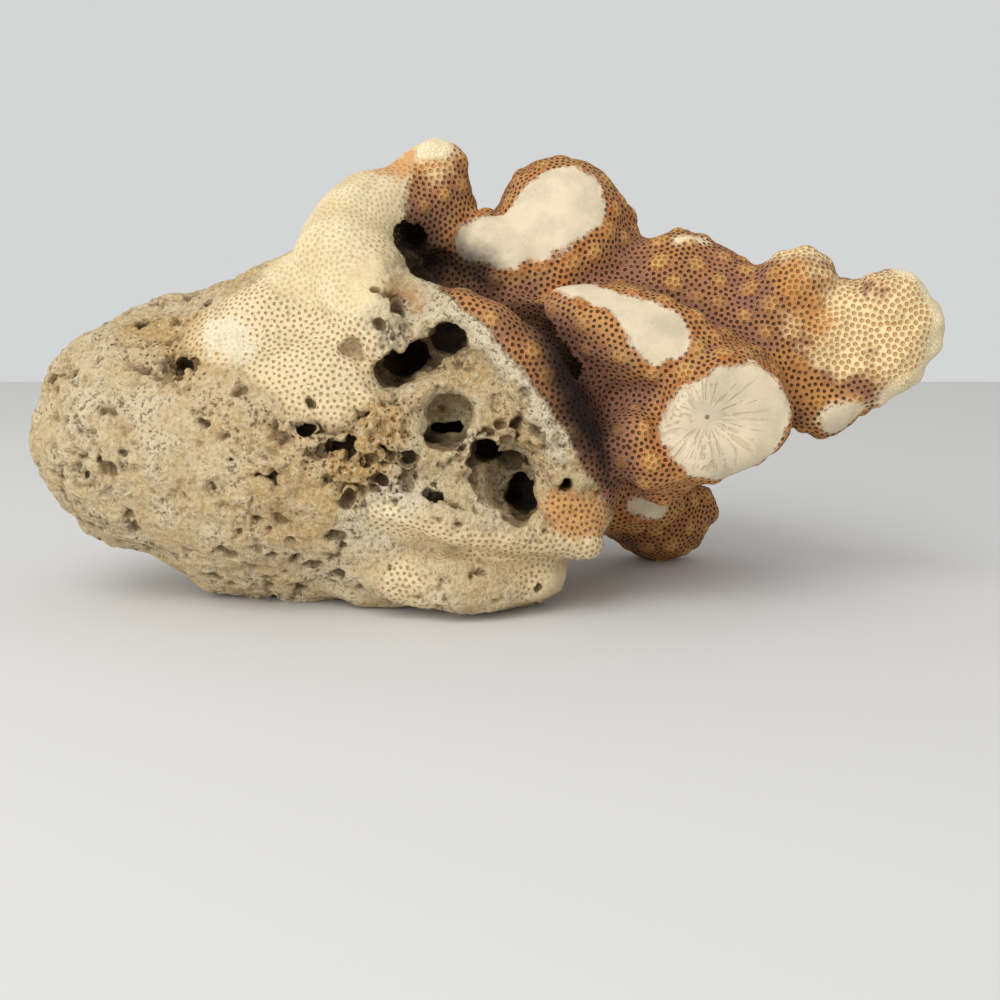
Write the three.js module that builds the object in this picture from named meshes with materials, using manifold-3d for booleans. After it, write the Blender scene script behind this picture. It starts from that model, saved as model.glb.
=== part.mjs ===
// A small branching stony coral, broken off the reef and lying on its side.
// An eroded, round stalk lies to the left and stout warty branches spread to the right, up and back.
// Units are millimetres, +Z is up and the resting surface is z = 0.
import * as THREE from "three";
import { mergeVertices } from "three/addons/utils/BufferGeometryUtils.js";
import { SimplexNoise } from "three/addons/math/SimplexNoise.js";
import Module from "manifold-3d";

const wasm = await Module();
wasm.setup();

// Driving dimensions.
const forkGap = 0.35; // clear width between a branch and what it forks from
const wobble = 0.9; // how far growth lumps stand off the smooth limbs
const wobbleLength = 17; // distance from one lump to the next
const cutReach = 200; // size of the blocks that take a flat off a tip or the underside

const xAxis = new THREE.Vector3(1, 0, 0);
const yAxis = new THREE.Vector3(0, 1, 0);
const zAxis = new THREE.Vector3(0, 0, 1);
let seed = 7;
const lumps = new SimplexNoise({ random: () => (seed = (seed * 16807) % 2147483647) / 2147483647 });

// A closed geometry as a manifold-3d solid.
function solidFrom(geometry) {
  const bare = geometry.clone();
  bare.deleteAttribute("normal");
  bare.deleteAttribute("uv");
  const merged = mergeVertices(bare, 1e-4);
  const triVerts = [];
  for (let i = 0; i < merged.index.count; i += 3) {
    const [a, b, c] = merged.index.array.slice(i, i + 3);
    if (a !== b && b !== c && c !== a) triVerts.push(a, b, c);
  }
  const vertProperties = new Float32Array(merged.attributes.position.array);
  return new wasm.Manifold(
    new wasm.Mesh({ numProp: 3, vertProperties, triVerts: new Uint32Array(triVerts) }),
  );
}

// A manifold-3d solid as a geometry, with the small pieces that a cut leaves thrown away.
function geometryFrom(solid) {
  const pieces = solid.decompose().sort((a, b) => b.volume() - a.volume());
  const mesh = pieces[0].getMesh();
  const positions = new Float32Array(mesh.numVert * 3);
  for (let i = 0; i < mesh.numVert; i++) {
    positions.set(mesh.vertProperties.subarray(i * mesh.numProp, i * mesh.numProp + 3), i * 3);
  }
  const geometry = new THREE.BufferGeometry();
  geometry.setAttribute("position", new THREE.BufferAttribute(positions, 3));
  geometry.setIndex(new THREE.BufferAttribute(new Uint32Array(mesh.triVerts), 1));
  geometry.computeVertexNormals();
  return geometry;
}

// A rod with round ends, bent along its stations. Each station is [x, y, z, breadth, depth], with
// breadth the half width along `broad` and depth the half width across it.
function limb({ stations, broad = zAxis, sides = 12, rings = 4, caps = 3 }, grow = 0) {
  const line = new THREE.CatmullRomCurve3(stations.map(([x, y, z]) => new THREE.Vector3(x, y, z)));
  const widths = new THREE.CatmullRomCurve3(
    stations.map(([, , , breadth, depth = breadth]) => new THREE.Vector3(breadth + grow, depth + grow, 0)),
  );
  const geometry = new THREE.CapsuleGeometry(1, 1, caps, sides, rings);
  const position = geometry.attributes.position;
  const point = new THREE.Vector3();
  for (let i = 0; i < position.count; i++) {
    const along = THREE.MathUtils.clamp(position.getY(i) + 0.5, 0, 1);
    const past = position.getY(i) + 0.5 - along;
    const tangent = line.getTangent(along);
    const across = broad.clone().cross(tangent).normalize();
    const wide = tangent.clone().cross(across);
    const width = widths.getPoint(along);
    point.copy(line.getPoint(along));
    point.addScaledVector(tangent, (past * (width.x + width.y)) / 2);
    point.addScaledVector(wide, position.getX(i) * width.x);
    point.addScaledVector(across, position.getZ(i) * width.y);
    const lump = lumps.noise3d(point.x / wobbleLength, point.y / wobbleLength, point.z / wobbleLength);
    const out = point.clone().sub(line.getPoint(along)).normalize();
    point.addScaledVector(out, lump * wobble);
    position.setXYZ(i, point.x, point.y, point.z);
  }
  return solidFrom(geometry);
}

// The half space on the far side of a plane through `at`, as a block to take away.
function blockBeyond(at, normal) {
  const block = new THREE.BoxGeometry(cutReach, cutReach, cutReach);
  block.translate(0, 0, cutReach / 2);
  const turn = new THREE.Quaternion().setFromUnitVectors(zAxis, new THREE.Vector3(...normal).normalize());
  block.applyQuaternion(turn);
  block.translate(...at);
  return solidFrom(block);
}

const joined = (solids) => solids.reduce((all, next) => all.add(next));

// The eroded stalk: a round, bored block with a broken rim and a folded ledge on its front.
const stalk = {
  name: "eroded_stalk",
  color: 0xcdbb95,
  limbs: [
    {
      stations: [
        [-60, 1, 27.5, 21, 19.5],
        [-46, 2, 27, 27.5, 25.5],
        [-24, 3, 27, 28.5, 28],
        [-2, 5, 27.5, 26, 25],
      ],
      sides: 20,
      rings: 8,
      caps: 5,
    },
    { stations: [[-46, -2, 43.5, 9, 14], [-32, -1, 49, 10, 14], [-20, 2, 51, 10, 14]] }, // shelf below the saddle
    { stations: [[-16, 12, 38, 17], [4, 12, 40, 16], [22, 10, 40, 14]], sides: 14, rings: 3 }, // heart
    {
      // broken rim that walls the borings in
      stations: [[-14, -12, 49, 6], [-4, -15, 48, 5], [5, -17, 42, 4.5], [11, -17, 31, 4.5], [15, -13, 18, 4.5]],
      broad: yAxis,
      sides: 10,
      rings: 7,
    },
    // upper and lower folds of the ledge
    { stations: [[-18, -16, 20, 6, 8], [0, -17, 16.5, 5, 7], [11, -14, 14.5, 4.5, 6]], sides: 10 },
    { stations: [[-20, -8, 7.5, 8.5, 12], [-4, -11, 6, 7, 10], [5, -11, 6, 5.5, 7]], sides: 10 },
  ],
  // an upper and a lower slot that meet, then two round borings
  hollows: [
    { stations: [[-13, -26, 41.5, 3.4], [-8, -19, 44, 3.4], [-4, -10, 48, 3.2]] },
    { stations: [[-19, -27, 38.5, 2.6, 5], [-15, -21, 40.5, 3, 7], [-11, -16, 42.5, 3, 7]] },
    { stations: [[-9, -30, 34, 3.8, 4.2], [-8, -15, 34, 3.6, 4]], rings: 1 },
    { stations: [[0, -30, 24, 6.5, 5.2], [2, -13, 22, 5.5, 4.6]], rings: 1 },
  ],
};

// The branches, from the fork outwards. A flat is where a tip has worn away or broken off.
const branches = [
  {
    name: "horn_branch",
    color: 0xd2b98c,
    limbs: [
      {
        stations: [[-16, -15, 41, 6, 5], [-22, -13, 51, 8, 7], [-26, -4, 60, 8.5], [-20, 4, 65, 8], [-13, 9, 66, 8]],
        broad: xAxis,
        rings: 7,
      },
      {
        stations: [[-13, 12, 52, 11], [-13, 10, 63, 9.5, 9], [-12, 9, 71, 6.8, 6.5], [-11, 8.5, 75, 4.6]],
        broad: xAxis,
      },
    ],
  },
  {
    name: "upper_stump",
    color: 0xd9c6a0,
    limbs: [
      { stations: [[9, 12, 46, 12], [11, 14, 58, 14], [11.5, 15, 62.5, 13]], broad: xAxis, sides: 16 },
      { stations: [[6, 10, 52, 9], [-2, 7, 57, 8]] },
    ],
    flats: [{ at: [5, 2.5, 64], normal: [-0.3, -0.86, 0.42] }],
  },
  {
    name: "middle_stub",
    color: 0xb98f6e,
    limbs: [
      { stations: [[19, 10, 42, 12], [20, -2, 44, 10.5]] },
      { stations: [[12, -4, 47.5, 6.5], [20, -7, 46, 8], [29, -8, 42.5, 8]] },
    ],
    flats: [
      { at: [14, -8, 52.5], normal: [0.05, -0.5, 0.86] },
      { at: [29, -13, 47], normal: [0.3, -0.75, 0.6] },
    ],
  },
  {
    name: "front_stub",
    color: 0xc8a06c,
    limbs: [
      { stations: [[30, 6, 38, 12], [35, -6, 35, 11.5, 12], [37.5, -14, 33.5, 9.5, 10.5]], sides: 16 },
      { stations: [[27, 2, 35, 11], [26, -7, 28, 9, 9.5], [27.5, -9, 23.5, 6]], broad: xAxis },
      { stations: [[18.5, 3, 24, 3.5], [19, 0.5, 19, 2.6]], broad: xAxis, sides: 9, rings: 1, caps: 3 },
    ],
    flats: [{ at: [38, -17, 33], normal: [0.12, -0.95, -0.1] }],
  },
  {
    name: "right_arm",
    color: 0xc79c62,
    limbs: [
      {
        stations: [[34, 9, 43, 13, 13], [48, 4, 42, 14, 11], [60, 1, 43.5, 12, 8.5], [66, 0, 46, 9.5, 6.5]],
        sides: 16,
        rings: 6,
      },
      { stations: [[45, 3, 49, 7], [51, 0.5, 53, 7]] },
      { stations: [[50, 0, 36, 7], [56, -3, 32.5, 5]] },
    ],
  },
  {
    name: "crest_branch",
    color: 0xa9795a,
    limbs: [{ stations: [[24, 11, 50, 10], [32, 9, 53.5, 9.5], [40, 7, 50, 9]], sides: 14 }],
  },
  {
    name: "underside_stub",
    color: 0xc9a77a,
    limbs: [{ stations: [[8, 6, 22, 9], [19, 8, 15.5, 7, 8], [28, 10, 14, 4.5, 6]] }],
  },
  {
    name: "rear_foot_branch",
    color: 0x9c7b58,
    limbs: [
      { stations: [[13, 17, 28, 13], [23, 22, 17, 10, 11], [31, 26, 8.2, 9]], sides: 14 },
      { stations: [[33, 26, 9, 6.5], [38, 27, 10.5, 4.6]] },
    ],
  },
  {
    name: "back_upper_branch",
    color: 0xb5895f,
    limbs: [
      { stations: [[0, 20, 42, 14], [0, 32, 52, 11.5, 13], [-2, 38, 57, 10, 11]], sides: 14 },
      { stations: [[2, 30, 50, 9], [12, 37, 54, 8]] },
    ],
    flats: [{ at: [-4, 44, 62], normal: [-0.2, 0.6, 0.77] }],
  },
  {
    name: "back_lower_branch",
    color: 0xb5895f,
    limbs: [
      { stations: [[22, 18, 38, 13], [33, 30, 37, 12], [38, 38, 38, 10]], sides: 14 },
      { stations: [[30, 28, 34, 9], [45, 31, 29, 7.5]] },
    ],
    flats: [{ at: [42, 45, 39], normal: [0.4, 0.9, 0.1] }],
  },
];

const underside = blockBeyond([0, 0, 0], [0, 0, -1]);

function bodyOf({ limbs, flats = [], hollows = [] }, grow = 0) {
  let body = joined(limbs.map((one) => limb(one, grow)));
  for (const { at, normal } of flats) body = body.subtract(blockBeyond(at, normal));
  for (const hollow of hollows) body = body.subtract(limb(hollow));
  return body.subtract(underside);
}

// Each branch ends where it meets the stalk or a branch that is already in place.
const coral = new THREE.Group();
let taken = null;
for (const part of [stalk, ...branches]) {
  const body = taken ? bodyOf(part).subtract(taken) : bodyOf(part);
  const grown = bodyOf({ ...part, hollows: [] }, forkGap);
  taken = taken ? taken.add(grown) : grown;
  const material = new THREE.MeshStandardMaterial({ color: part.color, roughness: 0.9, metalness: 0 });
  const mesh = new THREE.Mesh(geometryFrom(body), material);
  mesh.name = part.name;
  coral.add(mesh);
}

// The origin is the middle of the footprint, on the resting surface.
const box = new THREE.Box3().setFromObject(coral);
const middle = box.getCenter(new THREE.Vector3());
coral.position.set(-middle.x, -middle.y, -box.min.z);

export default coral;
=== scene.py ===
import math
import bpy
import numpy as np
from mathutils import Matrix, Vector
from mathutils.kdtree import KDTree


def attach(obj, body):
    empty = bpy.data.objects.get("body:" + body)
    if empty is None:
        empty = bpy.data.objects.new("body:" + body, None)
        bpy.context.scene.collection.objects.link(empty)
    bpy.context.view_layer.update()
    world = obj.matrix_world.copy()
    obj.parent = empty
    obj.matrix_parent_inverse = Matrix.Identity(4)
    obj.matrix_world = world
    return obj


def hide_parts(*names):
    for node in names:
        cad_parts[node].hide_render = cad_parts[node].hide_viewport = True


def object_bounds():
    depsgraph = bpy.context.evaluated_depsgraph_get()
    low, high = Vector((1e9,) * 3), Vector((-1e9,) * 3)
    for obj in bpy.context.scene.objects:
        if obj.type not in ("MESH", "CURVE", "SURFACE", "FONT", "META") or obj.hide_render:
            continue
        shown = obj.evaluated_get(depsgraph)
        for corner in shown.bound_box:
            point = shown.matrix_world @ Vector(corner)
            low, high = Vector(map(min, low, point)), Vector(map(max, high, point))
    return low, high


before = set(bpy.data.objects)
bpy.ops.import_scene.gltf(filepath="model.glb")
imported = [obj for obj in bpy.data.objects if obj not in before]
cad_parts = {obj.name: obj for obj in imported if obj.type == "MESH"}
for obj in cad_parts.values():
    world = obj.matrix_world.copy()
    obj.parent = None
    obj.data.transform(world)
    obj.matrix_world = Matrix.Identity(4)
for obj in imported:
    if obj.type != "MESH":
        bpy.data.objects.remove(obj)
lowAtLoad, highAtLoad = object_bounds()
low = np.array(lowAtLoad)
span = np.array(highAtLoad) - low
mm = 0.001
print("frame loaded", [round(s / mm, 1) for s in span], "mm")


def place(share):
    # a point given as shares of the whole coral's length, depth and height
    return low + span * np.array(share)


def deselectAll():
    if bpy.context.object and bpy.context.object.mode != "OBJECT":
        bpy.ops.object.mode_set(mode="OBJECT")
    bpy.ops.object.select_all(action="DESELECT")


def pick(piece):
    deselectAll()
    piece.select_set(True)
    bpy.context.view_layer.objects.active = piece


def finishWith(piece, kind, **settings):
    # adds a modifier, sets it and applies it
    pick(piece)
    modifier = piece.modifiers.new(kind.lower(), kind)
    for key, value in settings.items():
        setattr(modifier, key, value)
    bpy.ops.object.modifier_apply(modifier=modifier.name)


def remeshed(piece, voxel):
    finishWith(piece, "REMESH", mode="VOXEL", voxel_size=voxel, adaptivity=0.0)


def joined(pieces, name):
    deselectAll()
    for piece in pieces:
        piece.select_set(True)
    bpy.context.view_layer.objects.active = pieces[0]
    if len(pieces) > 1:
        bpy.ops.object.join()
    whole = bpy.context.object
    whole.name = whole.data.name = name
    return whole


def cleanCopy(node, name):
    # a copy of a CAD node with its loose triangles merged
    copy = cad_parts[node].copy()
    copy.data = copy.data.copy()
    for key in list(copy.keys()):
        del copy[key]
    copy.parent = None
    copy.name = name
    copy.data.materials.clear()
    bpy.context.scene.collection.objects.link(copy)
    pick(copy)
    bpy.ops.object.mode_set(mode="EDIT")
    bpy.ops.mesh.select_all(action="SELECT")
    bpy.ops.mesh.remove_doubles(threshold=0.02 * mm)
    bpy.ops.object.mode_set(mode="OBJECT")
    return copy


def coordinates(piece):
    flat = np.empty(len(piece.data.vertices) * 3, np.float32)
    piece.data.vertices.foreach_get("co", flat)
    return flat.reshape(-1, 3).astype(np.float64)


def vertexNormals(piece):
    flat = np.empty(len(piece.data.vertices) * 3, np.float32)
    piece.data.vertex_normals.foreach_get("vector", flat)
    return flat.reshape(-1, 3).astype(np.float64)


def moveTo(piece, points):
    piece.data.vertices.foreach_set("co", points.astype(np.float32).ravel())
    piece.data.update()


def strand(stations, step=0.45, subdivisions=2):
    # balls strung along a line of [length, depth, height, radius in mm, flatness] stations
    balls = []
    points = [place(s[:3]) for s in stations]
    for i in range(max(1, len(points) - 1)):
        a, b = points[i], points[min(i + 1, len(points) - 1)]
        ra = stations[i][3] * mm
        rb = stations[min(i + 1, len(points) - 1)][3] * mm
        count = max(1, int(np.linalg.norm(b - a) / (step * min(ra, rb))))
        for k in range(count + 1):
            t = k / count
            deselectAll()
            bpy.ops.mesh.primitive_ico_sphere_add(
                subdivisions=subdivisions, radius=ra + (rb - ra) * t, location=a + (b - a) * t)
            balls.append(bpy.context.object)
    return balls


def lattice(ix, iy, iz, seed):
    h = (ix * 73856093) ^ (iy * 19349663) ^ (iz * 83492791) ^ (seed * 2654435761)
    h = (h ^ (h >> 13)) * 1274126177
    h = (h ^ (h >> 16)) & 0xFFFFFF
    return h / float(0xFFFFFF)


def noise(points, size, seed=0, octaves=1, roughness=0.5):
    # smooth noise between -1 and 1, its lumps `size` mm across
    total = np.zeros(len(points))
    reach, gain = 0.0, 1.0
    for octave in range(octaves):
        p = points / mm / size * (2.0 ** octave) + 1000.0 + 17.0 * octave
        i = np.floor(p).astype(np.int64)
        f = p - i
        f = f * f * (3 - 2 * f)
        value = np.zeros(len(points))
        for dx in (0, 1):
            wx = f[:, 0] if dx else 1 - f[:, 0]
            for dy in (0, 1):
                wy = f[:, 1] if dy else 1 - f[:, 1]
                for dz in (0, 1):
                    wz = f[:, 2] if dz else 1 - f[:, 2]
                    value += wx * wy * wz * lattice(i[:, 0] + dx, i[:, 1] + dy, i[:, 2] + dz, seed + octave)
        total += gain * (value * 2 - 1)
        reach += gain
        gain *= roughness
    return total / reach


def smoothStep(value, start, end):
    t = np.clip((value - start) / (end - start), 0, 1)
    return t * t * (3 - 2 * t)


def strokeDepth(points, lines, depthScale=1.0):
    # mm inside the nearest of several lines of [length, depth, height, radius in mm] stations
    scale = np.array((1.0, depthScale, 1.0))
    points = points * scale
    best = np.full(len(points), -1e9)
    for line in lines:
        for first, last in zip(line, line[1:]):
            a, b = place(first[:3]) * scale, place(last[:3]) * scale
            along = b - a
            t = np.clip((points - a) @ along / max(along @ along, 1e-12), 0, 1)
            reach = first[3] + (last[3] - first[3]) * t
            best = np.maximum(best, reach - np.linalg.norm(points - a - t[:, None] * along, axis=1) / mm)
    return best


growthForm = {
    "inflate": 0.3,       # mm, so that the forks' gaps close
    "firstVoxel": 0.9,    # mm
    "smoothing": 14,      # rounds that take the facets off
    # lines of [length, depth, height, radius in mm] that add to the CAD form
    "extras": [
        # rim crest over the borings
        [(0.480, 0.105, 0.640, 3.4), (0.510, 0.095, 0.608, 3.8), (0.534, 0.085, 0.535, 3.4),
         (0.552, 0.080, 0.457, 3.0), (0.574, 0.085, 0.375, 2.9), (0.594, 0.110, 0.290, 3.3)],
        # knob at the rim's foot
        [(0.590, 0.130, 0.225, 4.6), (0.606, 0.140, 0.215, 4.8)],
        # upper lip of the ledge
        [(0.405, 0.055, 0.250, 3.6), (0.470, 0.035, 0.215, 4.0), (0.540, 0.055, 0.180, 3.8),
         (0.610, 0.110, 0.155, 3.2)],
        # lower lip
        [(0.400, 0.105, 0.085, 5.0), (0.480, 0.075, 0.075, 5.2), (0.560, 0.125, 0.075, 4.2)],
        # lower end of the saddle, running down beside the slot
        [(0.392, 0.100, 0.640, 4.4), (0.400, 0.085, 0.570, 3.4)],
        # lower lobe of the front stub, and the nub beside it
        [(0.660, 0.150, 0.360, 5.4), (0.682, 0.140, 0.310, 4.6), (0.712, 0.150, 0.330, 3.8)],
        [(0.640, 0.170, 0.300, 2.4), (0.630, 0.125, 0.278, 1.9)],
        # horn
        [(0.412, 0.420, 0.870, 5.6), (0.434, 0.450, 0.925, 5.2), (0.446, 0.465, 0.960, 4.0)],
        # shoulder of the stalk
        [(0.066, 0.450, 0.528, 5.0), (0.112, 0.450, 0.586, 5.0), (0.165, 0.420, 0.606, 5.0),
         (0.220, 0.420, 0.628, 5.0)],
        # round end of the right arm
        [(0.950, 0.300, 0.640, 6.6), (0.966, 0.300, 0.590, 7.0), (0.946, 0.290, 0.520, 6.4),
         (0.915, 0.280, 0.470, 5.0)],
        # foot of the front stub's disc
        [(0.700, 0.150, 0.330, 5.2), (0.735, 0.150, 0.330, 5.2), (0.775, 0.165, 0.355, 5.0)],
        # flat crown of the upper stump
        [(0.578, 0.540, 0.855, 7.8), (0.602, 0.540, 0.850, 8.2), (0.632, 0.540, 0.790, 8.4)],
    ],
}

hollows = {
    "voxel": 0.5,       # mm
    "wobble": 1.25,     # mm that the walls wander
    "ripple": 0.35,
    # lines of balls, as above, that are cut away
    "cuts": [
        # round upper boring
        [(0.464, -0.060, 0.560, 3.4), (0.466, 0.160, 0.580, 3.3), (0.470, 0.330, 0.600, 2.6)],
        # crack that runs down from it to the left
        [(0.400, -0.020, 0.505, 3.0), (0.412, 0.120, 0.520, 3.6), (0.425, 0.300, 0.540, 3.0)],
        [(0.425, 0.000, 0.530, 2.8), (0.440, 0.160, 0.545, 3.0)],
        # middle boring, with a deep slot at its floor
        [(0.464, -0.060, 0.425, 4.5), (0.464, 0.055, 0.428, 4.1)],
        [(0.451, 0.040, 0.386, 1.8), (0.453, 0.230, 0.386, 1.8)],
        [(0.462, 0.040, 0.384, 1.7), (0.463, 0.250, 0.384, 1.8)],
        [(0.474, 0.040, 0.388, 1.8), (0.474, 0.230, 0.388, 1.8)],
        # big lower boring, ragged, and its deep ends
        [(0.522, -0.080, 0.310, 5.8), (0.522, 0.075, 0.300, 5.4)],
        [(0.500, 0.020, 0.350, 2.4), (0.508, 0.260, 0.345, 2.6)],
        [(0.541, 0.020, 0.240, 3.4), (0.545, 0.270, 0.240, 3.4)],
        [(0.530, 0.020, 0.320, 2.0), (0.534, 0.220, 0.315, 2.2)],
        [(0.514, 0.040, 0.275, 1.4), (0.520, 0.180, 0.275, 1.4)],
        # small holes in the rim's foot
        [(0.588, 0.020, 0.280, 1.2), (0.590, 0.160, 0.278, 1.1)],
        [(0.487, 0.000, 0.330, 1.1), (0.489, 0.120, 0.330, 1.0)],
        # fold between the shelf and the saddle
        [(0.366, 0.060, 0.560, 1.6), (0.392, 0.050, 0.500, 2.2)],
        # trough behind the rim
        [(0.420, 0.270, 0.735, 3.2), (0.460, 0.225, 0.690, 3.4), (0.506, 0.165, 0.645, 3.2),
         (0.551, 0.125, 0.570, 3.2),
         (0.582, 0.115, 0.470, 3.2), (0.602, 0.120, 0.380, 3.2), (0.622, 0.150, 0.290, 3.2)],
        [(0.455, 0.330, 0.710, 4.6), (0.512, 0.290, 0.640, 5.2), (0.562, 0.260, 0.560, 5.4),
         (0.592, 0.250, 0.465, 5.2), (0.612, 0.260, 0.375, 5.0), (0.632, 0.270, 0.285, 4.4)],
        # recess under the saddle's inner edge
        [(0.414, 0.380, 0.830, 1.9), (0.409, 0.300, 0.778, 2.5), (0.424, 0.275, 0.738, 3.0)],
        [(0.424, 0.400, 0.815, 2.4), (0.424, 0.330, 0.775, 3.0), (0.440, 0.310, 0.740, 3.2)],
    ],
}


def growCoral():
    parts = []
    for node in sorted(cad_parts):
        copy = cleanCopy(node, "growth_" + node)
        finishWith(copy, "DISPLACE", strength=growthForm["inflate"] * mm, mid_level=0.0)
        parts.append(copy)
    for line in growthForm["extras"]:
        parts += strand(line)
    growth = joined(parts, "growth")
    remeshed(growth, growthForm["firstVoxel"] * mm)
    finishWith(growth, "SMOOTH", factor=0.5, iterations=growthForm["smoothing"])
    return growth


def carve(growth):
    balls = []
    for line in hollows["cuts"]:
        balls += strand(line)
    borings = joined(balls, "borings")
    remeshed(borings, hollows["voxel"] * mm)
    finishWith(borings, "SMOOTH", factor=0.5, iterations=3)
    points = coordinates(borings)
    wobble = noise(points, 5.0, 11, 3) * hollows["wobble"] + noise(points, 1.8, 12, 2) * hollows["ripple"]
    moveTo(borings, points + vertexNormals(borings) * (wobble * mm)[:, None])
    finishWith(growth, "BOOLEAN", operation="DIFFERENCE", solver="MANIFOLD", object=borings)
    bpy.data.objects.remove(borings)


coral = growCoral()
print("growth form", len(coral.data.vertices))
uncut = coral.copy()      # kept to tell pits from outer skin, and tips from forks
uncut.data = coral.data.copy()
bpy.context.scene.collection.objects.link(uncut)
carve(coral)
print("borings cut", len(coral.data.vertices))

# living side of the coral: past this line of [height share, length share]
livingLine = [(0.00, 0.655), (0.19, 0.640), (0.28, 0.618), (0.38, 0.586), (0.50, 0.551), (0.60, 0.510),
              (0.66, 0.470), (0.71, 0.436), (0.78, 0.412), (0.86, 0.420), (1.00, 0.425)]


def livingDepth(points):
    # mm past the line between the dead stalk and the branches
    share = (points - low) / span
    heights, lengths = zip(*livingLine)
    edge = np.interp(share[:, 2], heights, lengths)
    edge = edge - 0.10 * smoothStep(share[:, 1], 0.45, 0.85)
    return (share[:, 0] - edge) * span[0] / mm


stalkPits = {
    # [length, depth, height, radius in mm, depth in radii]
    "main": [
        (0.128, 0.288, 0.596, 2.0, 1.6), (0.097, 0.178, 0.529, 1.2, 1.2), (0.186, 0.117, 0.525, 1.3, 1.6),
        (0.202, 0.112, 0.528, 1.0, 1.3), (0.220, 0.048, 0.410, 1.1, 1.4), (0.210, 0.052, 0.420, 0.9, 1.2),
        (0.285, 0.012, 0.307, 1.4, 1.3), (0.275, 0.012, 0.310, 1.0, 1.1), (0.319, 0.016, 0.401, 1.1, 1.8),
        (0.355, 0.013, 0.372, 1.5, 1.6), (0.370, 0.013, 0.368, 1.4, 1.6), (0.345, 0.013, 0.372, 1.0, 1.4),
        (0.109, 0.103, 0.308, 1.2, 0.9), (0.102, 0.103, 0.314, 1.0, 0.8), (0.345, 0.114, 0.089, 1.3, 1.3),
        (0.360, 0.019, 0.260, 1.3, 1.0), (0.203, 0.178, 0.066, 1.3, 1.1), (0.323, 0.097, 0.109, 1.0, 1.2),
        (0.391, 0.089, 0.655, 0.7, 1.8), (0.397, 0.076, 0.616, 0.8, 1.8), (0.381, 0.090, 0.685, 0.5, 1.6),
        (0.415, 0.085, 0.596, 0.6, 1.5), (0.386, 0.085, 0.632, 0.5, 1.6), (0.378, 0.090, 0.710, 0.45, 1.5),
        (0.400, 0.085, 0.640, 0.45, 1.5), (0.384, 0.080, 0.600, 0.5, 1.5), (0.405, 0.070, 0.580, 0.6, 1.6),
        (0.395, 0.020, 0.300, 1.1, 1.2), (0.383, 0.020, 0.340, 1.0, 1.1), (0.378, 0.030, 0.430, 1.1, 1.2),
        (0.330, 0.030, 0.450, 1.0, 1.2), (0.343, 0.020, 0.310, 0.9, 1.0), (0.405, 0.020, 0.360, 0.9, 1.1),
    ],
    # [spacing in mm, smallest radius, largest radius, depth in radii, seed]
    "scatters": [(12.0, 0.6, 1.15, 1.1, 3), (4.8, 0.42, 0.85, 1.2, 5), (2.5, 0.30, 0.52, 1.2, 8)],
    # smooth stretches without pits: [length, depth, height, radius in mm]
    "unpitted": [
        [(0.33, 0.20, 0.80, 13), (0.37, 0.22, 0.87, 13), (0.45, 0.45, 0.90, 13)],
        [(0.24, 0.10, 0.61, 11), (0.30, 0.10, 0.62, 11), (0.35, 0.09, 0.60, 11)],
    ],
    "voxel": 0.34,      # mm
    "ragged": 0.28,     # mm that a pit's wall wanders
}


def openGroup(name):
    # an empty Geometry Nodes group, with its way in and its way out
    group = bpy.data.node_groups.new(name, "GeometryNodeTree")
    for way in ("INPUT", "OUTPUT"):
        group.interface.new_socket("Geometry", in_out=way, socket_type="NodeSocketGeometry")
    return group, group.nodes.new("NodeGroupInput"), group.nodes.new("NodeGroupOutput")


def scatterPoints(surface, spacing, seed):
    # evenly spread points on a surface, no two closer than `spacing` mm
    group, start, end = openGroup("spread")
    spread = group.nodes.new("GeometryNodeDistributePointsOnFaces")
    spread.distribute_method = "POISSON"
    spread.inputs["Distance Min"].default_value = spacing * mm
    spread.inputs["Density Max"].default_value = 6.0 / (spacing * mm) ** 2
    spread.inputs["Seed"].default_value = seed
    asPoints = group.nodes.new("GeometryNodePointsToVertices")
    group.links.new(start.outputs[0], spread.inputs["Mesh"])
    group.links.new(spread.outputs["Points"], asPoints.inputs["Points"])
    group.links.new(asPoints.outputs[0], end.inputs[0])
    cloud = surface.copy()
    cloud.data = surface.data.copy()
    bpy.context.scene.collection.objects.link(cloud)
    finishWith(cloud, "NODES", node_group=group)
    points = coordinates(cloud)
    bpy.data.objects.remove(cloud)
    bpy.data.node_groups.remove(group)
    return points


def nearestTable(seeds):
    tree = KDTree(len(seeds))
    for i, p in enumerate(seeds):
        tree.insert(p, i)
    tree.balance()
    return tree


def nearestOf(points, seeds):
    # index of, and distance in mm to, the nearest seed of every point
    tree = nearestTable(seeds)
    found = [tree.find(p)[1:] for p in points.astype(np.float32)]
    table = np.array(found)
    return table[:, 0].astype(int), table[:, 1] / mm


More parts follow.
